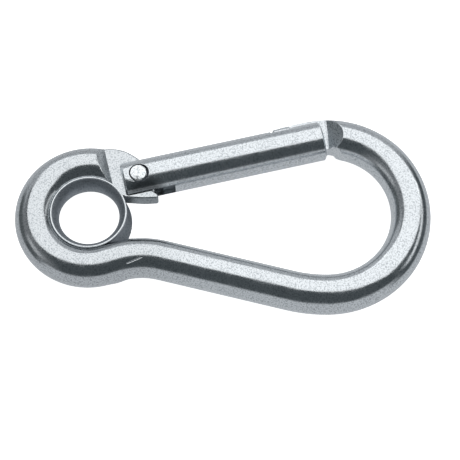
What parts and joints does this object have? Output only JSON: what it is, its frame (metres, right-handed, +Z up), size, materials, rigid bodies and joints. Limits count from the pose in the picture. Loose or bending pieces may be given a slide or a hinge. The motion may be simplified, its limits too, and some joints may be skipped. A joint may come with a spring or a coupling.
{
  "type": "eye hook with latch",
  "caption": "Round bar snap hook with a pressed-in eyelet at the small end and a sprung, riveted gate that swings inwards and closes on the hook's coined nose.",
  "frame": {"origin": "middle of the hook's box, on the surface that it lies on", "axes": "+X along the hook from the eye to the bowl, +Y towards the gate's side, +Z up out of the hook's plane"},
  "size_m": [0.104, 0.0522, 0.01],
  "materials": {
    "polished_bar": "tumbled and polished stainless steel",
    "turned_gate": "drawn and polished stainless steel",
    "pressed_eyelet": "satin pressed stainless steel",
    "peened_rivet": "peened stainless steel",
    "plain_plunger": "turned stainless steel",
    "spring_wire": "drawn spring wire"
  },
  "bodies": {
    "frame": {"hook_frame": "polished_bar", "eyelet": "pressed_eyelet"},
    "gate": {"gate": "turned_gate", "hinge_rivet": "peened_rivet", "gate_spring": "spring_wire"},
    "plunger": {"plunger": "plain_plunger"}
  },
  "joints": [
    {"name": "gate_swing", "type": "hinge", "parent": "frame", "child": "gate", "pos_m": [-0.02113, 0.00988, 0.005], "axis": [0, 0, -1], "range_deg": [0, 32], "stiffness_Nm_per_rad": 0.07, "springref_deg": -36.67},
    {"name": "plunger_slide", "type": "slide", "parent": "gate", "child": "plunger", "axis": [0.9735, 0.2289, 0], "range_m": [0, 0.0018], "deforming": ["gate_spring"]}
  ],
  "couplings": [
    {"joint": "plunger_slide", "follows": "gate_swing", "m_per_rad": 0.003}
  ]
}
